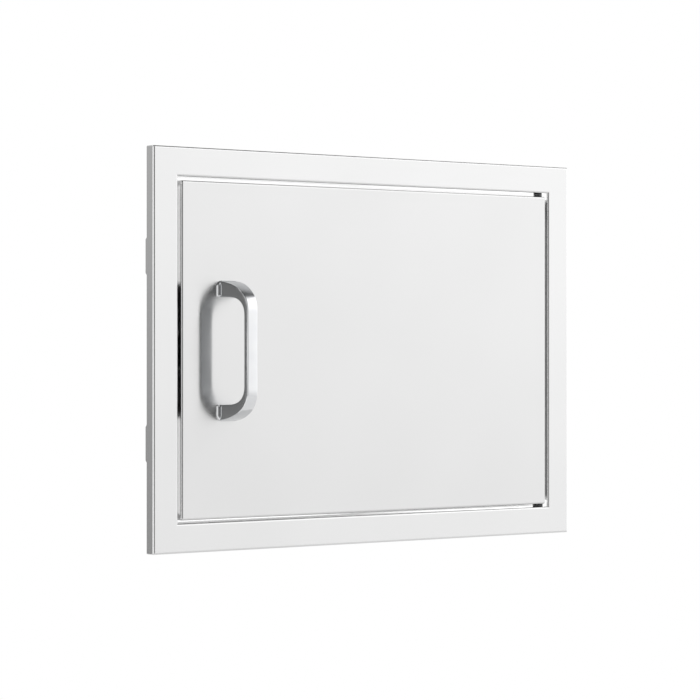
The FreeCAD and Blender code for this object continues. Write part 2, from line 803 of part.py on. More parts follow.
def housing_back_y():
    return pole_front_y() + pole_depth + housing_wall


def housing_mid_y():
    return (stop_front_y + catch_sheet + housing_back_y()) / 2 + catch_screw_offset


def catch_screw_places():
    return [catch_z + side * catch_screw_spacing / 2 for side in (-1, 1)]


def bumper_places():
    return [catch_z + side * bumper_spacing / 2 for side in (-1, 1)]


def catch_housing():
    """The moulded housing, screwed to the bracket's wall leg, with its nose through the window."""
    wall_x = sleeve_left_x + catch_sheet
    front = stop_front_y + catch_sheet + rest_gap
    back = housing_back_y()
    half = nose_half_length()
    side = nose_half_width()
    pole_y = pole_front_y()
    body = block(wall_x, strike_x + side, front, back, catch_z - half, catch_z + half)
    ears = block(wall_x, wall_x + housing_ear, front + ear_setback, back - ear_setback,
                 catch_z - housing_length / 2, catch_z + housing_length / 2)
    corners = edges_where(ears, lambda a, b: abs(a.y - b.y) < 1e-6 and abs(a.z - b.z) < 1e-6)
    ears = ears.makeFillet(ear_corner, corners)
    nose = block(strike_x - side, strike_x + side, pole_y + pole_stand_out, front + over,
                 catch_z - half, catch_z + half)
    housing = body.fuse(ears).fuse(nose).removeSplitter()
    slot_half = magnet_width / 2 + pole_sheet + thread_play
    length = pole_length / 2 + thread_play
    slot_back = pole_y + pole_depth + thread_play
    housing = housing.cut(block(strike_x - slot_half, strike_x + slot_half, pole_y - over, slot_back,
                                catch_z - length, catch_z + length))
    for z in catch_screw_places():
        start = Vector(wall_x - over, housing_mid_y(), z)
        housing = housing.cut(rod(small_screw_hole / 2, start, Vector(1, 0, 0), housing_ear + 2 * over))
    return housing


def catch_pole_plates():
    y0 = pole_front_y()
    plates = []
    for side in (-1, 1):
        x0 = strike_x + side * magnet_width / 2
        x1 = x0 + side * pole_sheet
        plates.append(block(min(x0, x1), max(x0, x1), y0, y0 + pole_depth, catch_z - pole_length / 2,
                            catch_z + pole_length / 2))
    return plates


def catch_magnet():
    y0 = pole_front_y() + magnet_inset
    half = pole_length / 2 - magnet_inset
    return block(strike_x - magnet_width / 2, strike_x + magnet_width / 2, y0, pole_front_y() + pole_depth,
                 catch_z - half, catch_z + half)


def catch_screws():
    seat = sleeve_left_x + catch_sheet + housing_ear
    length = housing_ear + catch_sheet
    y = housing_mid_y()
    return [pan_head_screw(small_screw, small_screw_head, small_screw_head_height, length,
                           Vector(seat, y, z), Vector(-1, 0, 0)) for z in catch_screw_places()]


def stop_bumpers():
    """Rubber buttons whose stems are pushed through the stop leg."""
    height = catch_stop_distance - rest_gap
    r = bumper_diameter / 2
    stem = bumper_stem / 2 - thread_play
    s = catch_sheet
    end = s + bumper_bulb_length
    profile = [(-height, 0), (-height, r - bumper_edge), (bumper_edge - height, r), (0, r), (0, stem),
               (s, stem), (s, bumper_bulb / 2), (end, stem / 2), (end, 0)]
    return [revolved(profile, Vector(strike_x, stop_front_y, z), Vector(0, 1, 0)) for z in bumper_places()]


def strike_plate():
    """The steel plate on the door's lip that the magnet pulls."""
    plate = block(strike_x - strike_width / 2, strike_x + strike_width / 2, door_back_y, strike_back_y,
                  catch_z - strike_length / 2, catch_z + strike_length / 2)
    plate = plate.makeFillet(strike_corner, edges_where(plate, along_y))
    for hole in holes_through(strike_rivet_places(), rivet_hole, door_back_y - over, strike_back_y + over):
        plate = plate.cut(hole)
    return plate


def strike_rivets():
    grip = strike_thickness + door_sheet + liner_sheet
    return [blind_rivet(Vector(x, strike_back_y, z), Vector(0, -1, 0), grip, strike_rivet_head_height)
            for x, z in strike_rivet_places()]


# Every node by name

def nodes():
    return {
        "face_frame": face_frame(),
        "upper_hinge_doubler": hinge_doubler(1),
        "lower_hinge_doubler": hinge_doubler(-1),
        "upper_pivot_bush": pivot_bush(1, upper_bush_flange, upper_bush_flange_thickness),
        "lower_pivot_bush": pivot_bush(-1, lower_bush_flange, lower_bush_flange_thickness),
        "catch_bracket": catch_bracket(),
        "catch_housing": catch_housing(),
        "catch_magnet": catch_magnet(),
        "catch_pole_plates": catch_pole_plates(),
        "catch_screws": catch_screws(),
        "stop_bumpers": stop_bumpers(),
        "door_skin": door_skin(),
        "door_liner": door_liner(),
        "pull_handle": pull_handle(),
        "handle_spacers": handle_spacers(),
        "handle_washers": handle_washers(),
        "handle_screws": handle_screws(),
        "upper_pivot_bracket": upper_pivot_bracket(),
        "lower_pivot_bracket": pivot_bracket(lower_bracket_mid),
        "bracket_screws": bracket_screws(),
        "upper_pivot_pin": upper_pivot_pin(),
        "pin_collar": pin_collar(),
        "pin_release_knob": pin_release_knob(),
        "upper_pin_spring": upper_pin_spring(),
        "upper_spacer_washer": upper_spacer_washer(),
        "lower_pivot_pin": lower_pivot_pin(),
        "lower_pin_ring": lower_pin_ring(),
        "lower_thrust_washer": lower_thrust_washer(),
        "strike_plate": strike_plate(),
        "strike_rivets": strike_rivets(),
    }


def main():
    os.makedirs("parts", exist_ok=True)
    for name, shape in nodes().items():
        if isinstance(shape, list):
            shape = Part.makeCompound(shape)
        shape.exportStep("parts/" + name + ".step")
        print(name, len(shape.Solids), "solids", round(shape.Volume, 1), "mm3", "valid", shape.isValid())


main()
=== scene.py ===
"""Looks of a cooking island's access door, dressed onto its measured solids.

Satin stainless flange and door, a chromed bow handle, hidden pins in nylon bushes, and a magnetic catch.
Lengths are in metres, +X to the right, +Y into the wall, +Z up, with the origin in the plane of the wall.
"""

import math

import bpy
import numpy as np
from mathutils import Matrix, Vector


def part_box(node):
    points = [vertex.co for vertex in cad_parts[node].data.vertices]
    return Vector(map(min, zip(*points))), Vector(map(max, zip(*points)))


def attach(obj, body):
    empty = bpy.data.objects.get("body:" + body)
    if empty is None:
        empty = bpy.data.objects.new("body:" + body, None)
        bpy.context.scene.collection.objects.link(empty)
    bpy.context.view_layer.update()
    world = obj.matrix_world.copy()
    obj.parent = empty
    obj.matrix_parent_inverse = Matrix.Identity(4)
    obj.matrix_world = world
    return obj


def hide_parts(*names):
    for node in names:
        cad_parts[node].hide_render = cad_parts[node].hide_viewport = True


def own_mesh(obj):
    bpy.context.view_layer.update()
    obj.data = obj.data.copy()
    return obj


bl_info = {
    "name": "Island access door looks",
    "version": (1, 0, 0),
    "blender": (4, 5, 0),
    "location": "3D View > Sidebar > Access door",
    "description": "Finishes, small hardware and studio for a stainless access door",
    "category": "Object",
}

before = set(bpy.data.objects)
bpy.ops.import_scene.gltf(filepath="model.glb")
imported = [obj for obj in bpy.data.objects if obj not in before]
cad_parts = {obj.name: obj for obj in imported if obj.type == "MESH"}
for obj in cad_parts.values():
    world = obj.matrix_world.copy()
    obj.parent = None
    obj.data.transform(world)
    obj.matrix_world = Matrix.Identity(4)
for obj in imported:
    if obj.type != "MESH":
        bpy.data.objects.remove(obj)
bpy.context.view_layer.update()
MM = 0.001


# Colours and nodes


def linear(code):
    """An sRGB hex colour as the linear numbers that a shader takes."""
    channels = []
    for i in (0, 2, 4):
        value = int(code[i:i + 2], 16) / 255
        channels.append(value / 12.92 if value <= 0.04045 else ((value + 0.055) / 1.055) ** 2.4)
    return (*channels, 1.0)


def add_node(tree, kind, settings=None, inputs=None, links=None):
    """Adds a node with its settings, its sockets' own values, and the links that come into it."""
    node = tree.nodes.new(kind)
    for key, value in (settings or {}).items():
        setattr(node, key, value)
    for key, value in (inputs or {}).items():
        node.inputs[key].default_value = value
    for key, source in (links or {}).items():
        tree.links.new(source, node.inputs[key])
    return node


def new_material(name):
    """An empty node material and its tree."""
    material = bpy.data.materials.new(name)
    material.use_nodes = True
    material.node_tree.nodes.clear()
    return material, material.node_tree


def stretched_noise(tree, width_mm, length_mm, along, detail=2.0):
    """Noise in streaks of a real width and length, along one axis of the object's coordinates."""
    coordinates = add_node(tree, "ShaderNodeTexCoord")
    scale = [1 / (width_mm * MM)] * 3
    scale["XYZ".index(along)] = 1 / (length_mm * MM)
    mapping = add_node(tree, "ShaderNodeMapping", inputs={"Scale": scale},
                       links={"Vector": coordinates.outputs["Object"]})
    return add_node(tree, "ShaderNodeTexNoise", inputs={"Scale": 1.0, "Detail": detail, "Roughness": 0.55},
                    links={"Vector": mapping.outputs["Vector"]}).outputs["Fac"]


def even_noise(tree, size_mm, detail=2.0):
    """Noise whose blobs have a real size."""
    coordinates = add_node(tree, "ShaderNodeTexCoord")
    return add_node(tree, "ShaderNodeTexNoise",
                    inputs={"Scale": 1 / (size_mm * MM), "Detail": detail, "Roughness": 0.5},
                    links={"Vector": coordinates.outputs["Object"]}).outputs["Fac"]


def ranged(tree, source, low, high):
    """A noise value, which stays between 0.3 and 0.7 nearly everywhere, brought between two ends."""
    return add_node(tree, "ShaderNodeMapRange",
                    inputs={"From Min": 0.3, "From Max": 0.7, "To Min": low, "To Max": high},
                    links={"Value": source}).outputs["Result"]


def tinted(tree, source, dark, light):
    """A colour between two linear colours, by a noise value."""
    mix = add_node(tree, "ShaderNodeMix", settings={"data_type": "RGBA"}, inputs={6: dark, 7: light},
                   links={0: ranged(tree, source, 0.0, 1.0)})
    return mix.outputs[2]


def bumped(tree, source, height_mm):
    """A bump of a real height."""
    return add_node(tree, "ShaderNodeBump", inputs={"Strength": 1.0, "Distance": height_mm * MM},
                    links={"Height": source}).outputs["Normal"]


def finished(tree, constants, colour, roughness, normal=None):
    """The surface shader, with its constants on its own sockets, and the output."""
    links = {"Base Color": colour, "Roughness": roughness}
    if normal:
        links["Normal"] = normal
    shader = add_node(tree, "ShaderNodeBsdfPrincipled", inputs=constants, links=links)
    add_node(tree, "ShaderNodeOutputMaterial", links={"Surface": shader.outputs["BSDF"]})


# Finishes


def mottled(name, constants, size_mm, detail, colours, roughness, height_mm=None):
    """A finish whose one mottle, of a real size, drives its tone between two colours, its roughness between
    two values, and a bump of a real height."""
    material, tree = new_material(name)
    mottle = even_noise(tree, size_mm, detail)
    colour = tinted(tree, mottle, linear(colours[0]), linear(colours[1]))
    normal = bumped(tree, mottle, height_mm) if height_mm else None
    finished(tree, constants, colour, ranged(tree, mottle, *roughness), normal)
    return material


def brushed_stainless(name, dark, light, rough, spread):
    """304 sheet, belt-brushed along its width: the grit's lines smear what it mirrors up and down and leave
    it crisp sideways. 180 grit cuts lines about 0.1 mm wide, too fine to show, so these are coarser."""
    material, tree = new_material(name)
    lines = stretched_noise(tree, 0.7, 90.0, "X", detail=4.0)
    clouds = even_noise(tree, 130.0, detail=1.0)
    roughness = ranged(tree, lines, rough - 0.025, rough + 0.025)
    colour = tinted(tree, clouds, dark, light)
    normal = bumped(tree, lines, 0.0012)
    constants = {"Metallic": 1.0, "Anisotropic": spread, "Anisotropic Rotation": 0.25}
    finished(tree, constants, colour, roughness, normal)
    return material


def mill_stainless(name, dark, light, rough):
    """304 sheet as it leaves the rolls: dull, with faint rolling lines in its tone and a cloudy gloss."""
    material, tree = new_material(name)
    lines = stretched_noise(tree, 1.5, 120.0, "Z", detail=3.0)
    clouds = even_noise(tree, 22.0)
    roughness = ranged(tree, clouds, rough - 0.05, rough + 0.05)
    colour = tinted(tree, lines, linear(dark), linear(light))
    normal = bumped(tree, lines, 0.002)
    finished(tree, {"Metallic": 1.0, "Anisotropic": 0.3}, colour, roughness, normal)
    return material


def chromed_zinc():
    """Chrome plate on a polished zinc casting: a hard mirror, slightly wavy where the casting was buffed."""
    material, tree = new_material("chrome_plate_on_cast_zinc")
    waves = even_noise(tree, 14.0, detail=1.0)
    haze = even_noise(tree, 2.2, detail=3.0)
    roughness = ranged(tree, haze, 0.04, 0.09)
    colour = tinted(tree, waves, linear("E2E3E5"), linear("E6E7E8"))
    normal = bumped(tree, waves, 0.012)
    finished(tree, {"Metallic": 1.0}, colour, roughness, normal)
    return material


def unbuffed_chrome_painted_shade():
    """The same plate where the buffing wheel hardly reaches, on the inside of the bow and on its upper leg:
    the casting's skin shows through it, so it is duller, and its greyer tone is painted shade for the shade
    that falls on these faces."""
    return mottled("chrome_plate_unbuffed_painted_shade", {"Metallic": 1.0}, 1.2, 3.0, ("ACAEB0", "B8BABC"),
                   (0.26, 0.36), 0.012)


def turned_stainless(name, dark, light, pitch_mm):
    """Bar turned on a lathe: fine rings round the axis from the tool's feed roughen and bump it, and the
    bands of light that they catch are painted into its tone as a painted sheen.
    """
    material, tree = new_material(name)
    rings = stretched_noise(tree, 400.0, pitch_mm, "Z", detail=2.0)
    roughness = ranged(tree, rings, 0.22, 0.34)
    # Lighter and darker bands along the rings: painted sheen.
    colour = tinted(tree, rings, linear(dark), linear(light))
    normal = bumped(tree, rings, 0.006)
    finished(tree, {"Metallic": 1.0}, colour, roughness, normal)
    return material


def cold_headed_stainless(name, dark, light):
    """Screws and rivets pressed from wire: smooth and tumbled, with a soft mottle."""
    return mottled(name, {"Metallic": 1.0}, 1.6, 3.0, (dark, light), (0.24, 0.4), 0.01)


def drawn_wire():
    """Spring wire drawn through a die: grey, with a fine mottle and a dull skin."""
    return mottled("drawn_spring_wire", {"Metallic": 1.0}, 0.5, 2.0, ("9A9DA0", "B4B7BA"), (0.3, 0.42))


def zinc_plated_steel():
    """Mild steel with clear zinc plate: bluish, semi-bright, with small spangled clouds."""
    return mottled("clear_zinc_plated_steel", {"Metallic": 1.0}, 4.0, 3.0, ("B9BDC6", "D2D5DA"),
                   (0.26, 0.42), 0.01)


def moulded_nylon():
    """Black nylon from a mould: satin, with a faint flow mottle."""
    return mottled("moulded_black_nylon", {"IOR": 1.53}, 2.5, 3.0, ("17181A", "232426"), (0.38, 0.5), 0.01)


def moulded_abs():
    """Black ABS with a spark-eroded texture of about 0.3 mm, which breaks up its highlights."""
    return mottled("textured_black_abs", {"IOR": 1.52}, 0.35, 1.0, ("121315", "1C1D1F"), (0.42, 0.6), 0.02)


def black_rubber():
    """Moulded rubber: matte, with a dusty bloom."""
    return mottled("matte_black_rubber", {"IOR": 1.52}, 3.0, 3.0, ("141414", "222222"), (0.7, 0.88))


def sintered_ferrite():
    """Ceramic ferrite, sintered and ground: charcoal grey, with fine grinding lines and small dark pits."""
    material, tree = new_material("ground_sintered_ferrite")
    lines = stretched_noise(tree, 0.4, 12.0, "Z")
    pits = even_noise(tree, 0.8, detail=4.0)
    colour = tinted(tree, pits, linear("262729"), linear("3A3B3D"))
    roughness = ranged(tree, lines, 0.45, 0.62)
    finished(tree, {"Metallic": 0.35}, colour, roughness)
    return material


def give(material, *nodes):
    """Puts a finish on CAD nodes, through their objects' own material slots."""
    for name in nodes:
        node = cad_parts[name]
        for slot in node.material_slots:
            slot.link = "OBJECT"
            slot.material = material


# Surfaces


def closed_mesh(name, grids, sharp_degrees=40.0):
    """One mesh out of grids of points, each a stack of closed rings: rows go up the piece and columns run
    anticlockwise round it, seen from its last row, and a pole closes each end."""
    vertices = []
    faces = []
    start = 0
    for grid in grids:
        rows, columns = grid.shape[:2]
        around = np.arange(columns)
        after = (around + 1) % columns
        row = start + columns * np.arange(rows - 1)[:, None]
        quads = np.stack([row + around, row + after, row + columns + after, row + columns + around], axis=-1)
        last = start + (rows - 1) * columns
        pole = last + columns
        faces += quads.reshape(-1, 4).tolist()
        faces += np.stack([np.full(columns, pole), start + after, start + around], axis=-1).tolist()
        faces += np.stack([np.full(columns, pole + 1), last + around, last + after], axis=-1).tolist()
        vertices += [grid.reshape(-1, 3), grid[:1].mean(axis=1), grid[-1:].mean(axis=1)]
        start = pole + 2
    mesh = bpy.data.meshes.new(name)
    mesh.from_pydata(np.concatenate(vertices).tolist(), [], faces)
    mesh.shade_smooth()
    mesh.set_sharp_from_angle(angle=math.radians(sharp_degrees))
    return mesh


def stand_for(mesh, material, body, *nodes):
    """An object of that mesh, which rides on a body in place of CAD nodes."""
    mesh.materials.append(material)
    piece = bpy.data.objects.new(mesh.name, mesh)
    bpy.context.scene.collection.objects.link(piece)
    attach(piece, body)
    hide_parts(*nodes)
    return piece


def turned(radius, height, columns=48):
    """Rings about an axis: radius and height for each row, which may also change from column to column.
    Returns points with x and y across the axis and z along it."""
    angle = np.linspace(0.0, 2 * np.pi, columns, endpoint=False)
    radius, height = (values if values.ndim == 2 else np.repeat(values[:, None], columns, axis=1)
                      for values in (radius, height))
    return np.stack([radius * np.cos(angle), radius * np.sin(angle), height], axis=-1)


def stood(points, start, direction):
    """Points about the z axis, put at a place and turned so that z runs along a level direction."""
    up = np.asarray(direction, dtype=float)
    side = np.cross(up, [0.0, 0.0, 1.0])
    third = np.cross(up, side)
    return np.asarray(start) + points[..., :1] * side + points[..., 1:2] * third + points[..., 2:] * up


def span(node):
    """The lowest and highest corner of a CAD node."""
    low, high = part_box(node)
    return np.array(low), np.array(high)


# Between the threads of a 5 mm and of a 4 mm screw
M5_PITCH = 0.8 * MM
M4_PITCH = 0.7 * MM


def pan_screw(shank, head, head_height, length, pitch, columns=72):
    """A cross-recessed pan-head screw along z, its seat at 0 and its tip below. The head is a superellipse
    turned about z, less the recess: two crossed slots that get shallower outwards. The shank's radius falls
    from its crest by a cosine of height over pitch less angle over a turn, which winds the thread."""
    angle = np.linspace(0.0, 2 * np.pi, columns, endpoint=False)
    rows = int((length - 2 * pitch) / pitch * 7)
    along = np.linspace(-length + 0.8 * pitch, -0.9 * pitch, rows)[:, None]
    thread = shank - 0.3 * pitch * (1 - np.cos(2 * np.pi * along / pitch - angle))
    taper = np.clip((along + length) / (1.6 * pitch), 0.0, 1.0)
    thread = thread - (1 - taper) * 0.35 * pitch
    sweep = np.linspace(np.pi / 2, 0.02, 30)
    across = head * np.sin(sweep) ** (2 / 2.7)
    dome = head_height * np.cos(sweep) ** (2 / 2.7)
    x = across[:, None] * np.cos(angle)
    y = across[:, None] * np.sin(angle)
    slot_half_width = 0.16 * head
    slot_half_length = 0.58 * head
    recess = 0.0
    for one, other in ((x, y), (y, x)):
        walls = np.clip((slot_half_width - np.abs(one)) / (0.06 * head), 0.0, 1.0)
        ends = np.clip((slot_half_length - np.abs(other)) / (0.10 * head), 0.0, 1.0)
        recess = np.maximum(recess, walls * ends)
    deepest = 0.62 * head_height
    dome = dome[:, None] - deepest * recess * (1 - 0.45 * across[:, None] / head)
    even = np.ones(columns)
    radius = np.concatenate([[0.55 * shank * even], [0.72 * shank * even], thread, [shank * even],
                             [shank * even], [0.96 * head * even], across[:, None] * even])
    height = np.concatenate([[-length * even], [-length * even], along * even, [-0.5 * pitch * even],
                             [0.0 * even], [0.0 * even], dome])
    return turned(radius, height, columns)


def screws_of(node, axis, shank, head_height, pitch, spacing=None):
    """A node's screws, which point along x or y and stand in a row up the door: one at each end of the row,
    and a second one a spacing further in where the node has four."""
    low, high = span(node)
    head = (high[1 - axis] - low[1 - axis]) / 2
    place = low + head
    place[axis] = high[axis] - head_height
    screw = pan_screw(shank, head, head_height, place[axis] - low[axis], pitch)
    heights = [low[2] + head, high[2] - head]
    if spacing:
        heights[1:1] = [heights[0] + spacing, heights[1] - spacing]
    return [stood(screw, (place[0], place[1], z), np.eye(3)[axis]) for z in heights]


def set_rivet(head, head_height, body, grip, tail, tail_length):
    """A set blind rivet along z, its seat at 0. The head is a circle's arc with its height flattened by a
    power of the cosine, down into the mandrel's hole, and the tail swells by a power of a sine along its
    length."""
    edge = np.linspace(0.0, 1.0, 12)
    tail_bulge = body + (tail - body) * np.sin(np.pi * edge) ** 0.6
    tail_height = -grip - tail_length * (1 - edge)
    sweep = np.linspace(np.pi / 2, 0.42, 14)
    dome_radius = head * np.sin(sweep)
    dome_height = head_height * np.cos(sweep) ** 0.8
    hole = 0.24 * head
    radius = np.concatenate([[0.4 * body], tail_bulge[:-1], [body, body, head * 0.97], dome_radius,
                             [hole, 0.86 * hole, 0.3 * hole]])
    height = np.concatenate([[tail_height[0]], tail_height[:-1], [-grip, 0.0, 0.0], dome_height,
                             [0.95 * head_height, 0.45 * head_height, 0.5 * head_height]])
    return turned(radius, height)


def wound_wire(wire, mean, low, high, coils, columns=14, steps=36):
    """Spring wire: a circle swept along a helix. The rise is flat for half a turn at each end, where the
    wire rests on its seat, and between them it is a line mixed with a smooth step."""
    turns = np.linspace(0.0, coils, coils * steps + 1)
    share = np.clip((turns - 0.5) / (coils - 1), 0.0, 1.0)
    rise = 0.72 * share + 0.28 * share * share * (3 - 2 * share)
    z = low + wire + (high - low - 2 * wire) * rise
    angle = 2 * np.pi * turns
    path = np.stack([mean * np.cos(angle), mean * np.sin(angle), z], axis=-1)
    ahead = np.gradient(path, axis=0)
    ahead = ahead / np.linalg.norm(ahead, axis=1, keepdims=True)
    outwards = np.stack([np.cos(angle), np.sin(angle), np.zeros_like(angle)], axis=-1)
    upwards = np.cross(ahead, outwards)
    around = np.linspace(0.0, 2 * np.pi, columns, endpoint=False)[None, :, None]
    return path[:, None] + wire * (np.cos(around) * outwards[:, None] + np.sin(around) * upwards[:, None])


def fluted_knob(shank, shank_length, head, head_length, edge, flutes, columns=160):
    """The release knob along z: a plain shank and a head whose radius is cut back by round flutes, the
    height of a circle's arc over the distance round the rim, with a rounded edge and a dished end."""
    angle = np.linspace(0.0, 2 * np.pi, columns, endpoint=False)
    pitch = 2 * np.pi / flutes
    flute = 0.155 * head
    off = head * ((angle + pitch / 2) % pitch - pitch / 2)
    cut = 0.65 * np.sqrt(np.clip(flute ** 2 - off ** 2, 0.0, None))
    corner = np.linspace(0.0, np.pi / 2, 7)
    near = edge * (1 - np.sin(corner))
    far = edge * (1 - np.cos(corner))
    top = shank_length + head_length
    dish = np.linspace(0.78, 0.05, 8)
    dish_height = top - 0.5 * MM * (1 - dish ** 2)
    radius = np.concatenate([[0.3 * shank, shank, shank, head - edge - 0.3 * MM], head - near, head - far,
                             [0.82 * head], dish * head])
    height = np.concatenate([[0.0, 0.0, shank_length, shank_length], shank_length + far, top - near,
                             [top], dish_height])
    in_head = np.clip((radius - 0.8 * head) / (0.2 * head), 0.0, 1.0)[:, None]
    return turned(radius[:, None] - cut * in_head, height, columns)


def rounded_plate(half_width, low, high, low_radius, high_radius, thickness, edge, per_corner=14):
    """A plate along z with a rectangular outline, rounded by one radius at its low end and another at its
    high end. Its rim is a quarter circle: each row is the outline drawn in by the circle's depth at that
    height."""
    sweep = np.linspace(0.0, np.pi / 2, 10)
    towards_middle = edge + np.array([0.15, 0.5]) * (half_width - edge)
    inset = np.concatenate([[0.0], edge * (1 - np.cos(sweep)), towards_middle])
    height = np.concatenate([[0.0], thickness - edge + edge * np.sin(sweep), [thickness, thickness]])
    least = 0.05 * MM
    corners = []
    for turn, side, end, radius in ((0, 1, 1, high_radius), (1, -1, 1, high_radius),
                                    (2, -1, -1, low_radius), (3, 1, -1, low_radius)):
        from_rim = np.maximum(radius, inset + least)[:, None]
        from_end = np.minimum(from_rim, 0.45 * (high - low))
        rest = np.minimum(np.maximum(radius - inset, least)[:, None], from_end)
        angle = np.linspace(0.0, np.pi / 2, per_corner) + turn * np.pi / 2
        x = side * (half_width - from_rim) + rest * np.cos(angle)
        y = (high if end > 0 else low) - end * from_end + rest * np.sin(angle)
        corners.append(np.stack([x, y, np.broadcast_to(height[:, None], x.shape)], axis=-1))
    return np.concatenate(corners, axis=1)


# The superellipses that a leg turns into the grip along, as exponents for depth and height
OUTER_CURVE = (1.6, 2.55)
INNER_CURVE = (4.0, 2.2)


def bow_line(depth, top, bend, curve, steps=56):
    """Half of one of the bow's side lines, from its middle up to the door, as (y, z) points at even
    distances: a straight grip, then a quarter of a superellipse, on which depth is the sine and height the
    cosine of an angle, each raised to 2 over its exponent."""
    angle = np.linspace(np.pi / 2, 0.0, 400)
    y = np.concatenate([[-depth], -depth * np.sin(angle) ** (2 / curve[0])])
    z = np.concatenate([[0.0], top - bend + bend * np.cos(angle) ** (2 / curve[1])])
    length = np.concatenate([[0.0], np.cumsum(np.hypot(np.diff(y), np.diff(z)))])
    even = np.linspace(0.0, length[-1], steps)
    return np.stack([np.interp(even, length, y), np.interp(even, length, z)], axis=-1)


def bow(outer, inner, leg_width, grip_width, outer_edge, inner_edge, per_corner=9):
    """The bow along z: each row is a four-sided section between the outer and inner line, as wide as the
    taper makes it at that distance from the door, with its corners rounded by quarter circles."""
    reach = -outer[0, 0]
    outer = np.concatenate([outer[:0:-1] * [1, -1], outer])
    inner = np.concatenate([inner[:0:-1] * [1, -1], inner])
    deep = np.linalg.norm(outer - inner, axis=1)[:, None]
    sweep = np.linspace(0.0, np.pi / 2, per_corner)
    near = 1 - np.cos(sweep)
    far = 1 - np.sin(sweep)
    from_side = np.concatenate([outer_edge * far, inner_edge * near, inner_edge * far, outer_edge * near])
    share = np.concatenate([1 - outer_edge * near / deep, inner_edge * far / deep, inner_edge * near / deep,
                            1 - outer_edge * far / deep], axis=1)
    line = inner[:, None] + share[..., None] * (outer - inner)[:, None]
    half = leg_width / 2 + line[..., 0] * (leg_width - grip_width) / 2 / reach
    side = np.repeat([1.0, 1.0, -1.0, -1.0], per_corner)
    return np.concatenate([(side * (half - from_side))[..., None], line], axis=-1)


def dull_shaded_faces(grid, face_count, slope):
    """1 for each of the bow's faces that keeps the duller plate with its painted shade, and 0 for the rest.
    The duller, painted-shade ones are on the inside, and on the upper leg where its outer line leans more
    than the slope. The feet come last."""
    rows = len(grid) - 1
    columns = grid.shape[1]
    face = np.arange(face_count)
    row = np.minimum(face // columns, rows - 1)
    column = face % columns
    inside = (column >= columns // 4) & (column < 3 * columns // 4 - 1)
    run = np.abs(np.diff(grid[:, 0, 1:], axis=0))
    leg_top = (grid[1:, 0, 2] > 0) & (np.arctan2(run[:, 0], run[:, 1]) > slope)
    on_top = leg_top[row] & (column == columns - 1)
    return ((face < rows * columns) & (inside | on_top)).astype(np.int32)


def rubber_button(radius, height, stem, sheet, bulb, bulb_length):
    """A push-in stop button along z, its seat at 0: a face that is a superellipse turned about z, a plain
    stem through the sheet, and a barb that swells by a quarter of a sine."""
    sweep = np.linspace(np.pi / 2, 0.03, 16)
    dome_radius = radius * np.sin(sweep) ** 0.62
    dome_height = height * np.cos(sweep) ** 0.62
    barb = np.linspace(0.0, 1.0, 7)
    barb_radius = stem * 0.7 + (bulb - stem * 0.7) * np.sin(barb * np.pi / 2)
    barb_height = -sheet - bulb_length * (1 - barb)
    return turned(np.concatenate([[0.2 * stem], barb_radius, [stem, stem], dome_radius]),
                  np.concatenate([[barb_height[0]], barb_height, [-sheet, 0.0], dome_height]))


# Studio

# Where the studio's panels lie, seen from the door
FRONT_RIGHT = (0.788, -0.616, 0.0)
LEFT = (-0.99, 0.12, 0.0)
FRONT_LEFT = (-0.75, -0.66, 0.0)
HIGH_BEHIND = (-0.45, 0.45, 0.77)
BEHIND = (-0.2, 0.98, 0.0)
BEHIND_RIGHT = (0.614, 0.789, 0.0)


def pale_floor(drop, radius):
    """A round floor: rings of points at even distances and angles round its middle, at one height. Matte
    light meets plain paper. The camera and mirrors see a darker paper, which takes the object's shadow,
    under a glow that brings it to white for the camera and to a dimmer level for metal."""
    spokes = 96
    distance = np.linspace(0.0, radius, 7)[1:, None]
    angle = np.linspace(0.0, 2 * np.pi, spokes, endpoint=False)
    x = distance * np.cos(angle)
    y = distance * np.sin(angle)
    points = np.stack([x, y, np.full_like(x, -drop)], axis=-1)
    vertices = np.concatenate([points.reshape(-1, 3), [[0.0, 0.0, -drop]]])
    ring, spoke = np.meshgrid(np.arange(5) * spokes, np.arange(spokes), indexing="ij")
    after = (spoke + 1) % spokes
    quads = np.stack([ring + spoke, ring + spokes + spoke, ring + spokes + after, ring + after], axis=-1)
    fan = np.stack([np.full(spokes, len(vertices) - 1), spoke[0], after[0]], axis=-1)
    mesh = bpy.data.meshes.new("pale_floor")
    mesh.from_pydata(vertices.tolist(), [], quads.reshape(-1, 4).tolist() + fan.tolist())
    floor = bpy.data.objects.new("pale_floor", mesh)
    bpy.context.scene.collection.objects.link(floor)
    material, tree = new_material("matte_white_studio_paper")
    paper = even_noise(tree, 300.0)
    plain = 0.81
    shadowed = 0.31
    white_glow = 0.74
    mirrored_glow = 0.55
    lit = ranged(tree, paper, plain - 0.01, plain + 0.01)
    path = add_node(tree, "ShaderNodeLightPath")
    seen = combined(tree, "MAXIMUM", path.outputs["Is Camera Ray"], path.outputs["Is Transmission Ray"])
    shown = combined(tree, "MAXIMUM", seen, path.outputs["Is Glossy Ray"])
    colour = combined(tree, "MINIMUM", softly(tree, shown, 0.0, 1.0, plain, shadowed), lit)
    diffuse = add_node(tree, "ShaderNodeBsdfDiffuse", links={"Color": colour})
    strength = combined(tree, "MAXIMUM", softly(tree, seen, 0.0, 1.0, 0.0, white_glow),
                        softly(tree, shown, 0.0, 1.0, 0.0, mirrored_glow))
    glow = add_node(tree, "ShaderNodeEmission", links={"Strength": strength})
    both = add_node(tree, "ShaderNodeAddShader", links={0: diffuse.outputs[0], 1: glow.outputs[0]})
    add_node(tree, "ShaderNodeOutputMaterial", links={"Surface": both.outputs[0]})
    floor.data.materials.append(material)


def facing(tree, direction, toward, low, high, amount):
    """How much a direction points a certain way: 0 to an amount, as its cosine goes from low to high."""
    along = add_node(tree, "ShaderNodeVectorMath", settings={"operation": "DOT_PRODUCT"}, inputs={1: toward},
                     links={0: direction}).outputs["Value"]
    return softly(tree, along, low, high, 0.0, amount)


